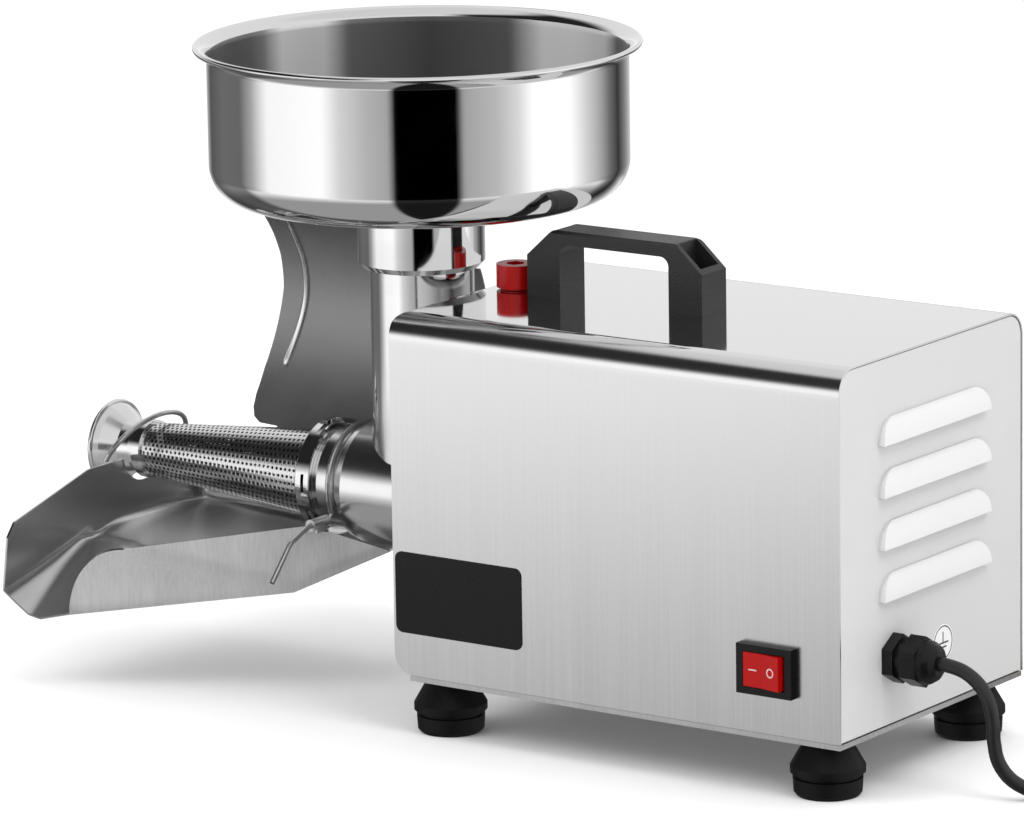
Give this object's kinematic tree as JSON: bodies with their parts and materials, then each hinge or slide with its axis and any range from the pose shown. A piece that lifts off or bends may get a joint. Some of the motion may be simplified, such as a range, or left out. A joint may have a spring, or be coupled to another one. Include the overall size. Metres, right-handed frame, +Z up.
{
  "type": "electric tomato strainer",
  "caption": "Electric tomato strainer: round steel hopper on a feed tube, auger in a perforated cone, juice chute, splash guard, and a motor casing with handle and rocker switch.",
  "frame": {"origin": "on the floor under the middle of the machine's box, measured without the cord and its gland", "axes": "+X along the auger's shaft towards the louvered end, +Y towards the rear, +Z up"},
  "size_m": [0.7347, 0.27, 0.34],
  "materials": {
    "brushed_case": "brushed",
    "white_panel": "satin",
    "polished_steel": "polished",
    "satin_steel": "satin",
    "grained_plastic": "grained",
    "black_plastic": "satin",
    "black_rubber": "matte",
    "red_plastic": "gloss",
    "zinc_steel": "plated",
    "motor_steel": "satin",
    "winding_steel": "varnished",
    "cast_alloy": "cast",
    "gear_steel": "machined",
    "white_plastic": "gloss",
    "plug_metal": "polished"
  },
  "bodies": {
    "base": {"casing_shell": "brushed_case", "head_plate": "satin_steel", "louvered_panel": "white_panel", "base_tray": "satin_steel", "foot_front_left": "black_rubber", "foot_rear_left": "black_rubber", "foot_front_right": "black_rubber", "foot_rear_right": "black_rubber", "foot_screws": "zinc_steel", "carry_handle": "grained_plastic", "handle_screws": "zinc_steel", "switch_bezel": "black_plastic", "gland_body": "black_plastic", "gland_nut": "black_plastic", "gland_locknut": "black_plastic", "mains_cord": "black_rubber", "cord_coil": "black_rubber", "plug_body": "black_plastic", "plug_pins": "plug_metal", "motor_can": "motor_steel", "motor_bells": "cast_alloy", "stator_core": "winding_steel", "motor_bearings": "zinc_steel", "motor_cradles": "zinc_steel", "capacitor": "white_plastic", "capacitor_clip": "zinc_steel", "gearbox_front": "cast_alloy", "gearbox_web": "cast_alloy", "gearbox_rear": "cast_alloy", "gearbox_bracket": "zinc_steel", "counter_bearings": "zinc_steel", "output_bearings": "zinc_steel", "shaft_seal": "black_rubber", "head_socket": "polished_steel"},
    "head": {"feed_tee": "polished_steel", "strainer_cone": "satin_steel", "cone_collar": "polished_steel", "waste_funnel": "polished_steel", "splash_guard": "satin_steel", "guard_screw": "zinc_steel", "chute": "satin_steel", "clip_barrel": "satin_steel", "chute_hoop": "satin_steel"},
    "hopper_body": {"hopper": "polished_steel"},
    "ring_body": {"lock_ring": "polished_steel"},
    "clip_body": {"clip_wire": "satin_steel"},
    "auger_body": {"auger": "polished_steel"},
    "output_body": {"output_wheel": "gear_steel", "output_shaft": "gear_steel"},
    "counter_body": {"counter_shaft": "gear_steel", "counter_wheel": "gear_steel", "counter_pinion": "gear_steel"},
    "rotor_body": {"rotor_core": "motor_steel", "motor_shaft": "gear_steel", "motor_pinion": "gear_steel", "motor_fan": "black_plastic"},
    "rocker_body": {"switch_rocker": "red_plastic"},
    "knob_body": {"lock_knob": "red_plastic", "lock_spindle": "zinc_steel"}
  },
  "joints": [
    {"name": "head_slide", "type": "slide", "parent": "base", "child": "head", "axis": [-1, 0, 0], "range_m": [0, 0.06]},
    {"name": "hopper_lift", "type": "slide", "parent": "head", "child": "hopper_body", "axis": [0, 0, 1], "range_m": [0, 0.05]},
    {"name": "ring_turn", "type": "hinge", "parent": "head", "child": "ring_body", "pos_m": [-0.11215, 0, 0.1055], "axis": [1, 0, 0], "range_deg": [-30, 0]},
    {"name": "clip_swing", "type": "hinge", "parent": "head", "child": "clip_body", "pos_m": [-0.09415, -0.0385, 0.0896], "axis": [0, -1, 0], "range_deg": [0, 10]},
    {"name": "output_spin", "type": "hinge", "parent": "base", "child": "output_body", "pos_m": [0.02785, 0, 0.1055], "axis": [1, 0, 0], "continuous": true},
    {"name": "auger_spin", "type": "hinge", "parent": "head", "child": "auger_body", "pos_m": [-0.07215, 0, 0.1055], "axis": [1, 0, 0], "continuous": true},
    {"name": "counter_spin", "type": "hinge", "parent": "base", "child": "counter_body", "pos_m": [0.04785, 0.02394, 0.15053], "axis": [1, 0, 0], "continuous": true},
    {"name": "rotor_spin", "type": "hinge", "parent": "base", "child": "rotor_body", "pos_m": [0.12785, 0, 0.12639], "axis": [1, 0, 0], "continuous": true},
    {"name": "rocker_tilt", "type": "hinge", "parent": "base", "child": "rocker_body", "pos_m": [0.21325, -0.0853, 0.064], "axis": [0, 0, 1], "range_deg": [0, 14]},
    {"name": "knob_turn", "type": "hinge", "parent": "base", "child": "knob_body", "pos_m": [0.00585, 0, 0.217], "axis": [0, 0, 1], "range_deg": [0, 720]}
  ],
  "couplings": [
    {"joint": "auger_spin", "follows": "output_spin", "ratio": 1},
    {"joint": "counter_spin", "follows": "output_spin", "ratio": -3},
    {"joint": "rotor_spin", "follows": "output_spin", "ratio": 9}
  ]
}
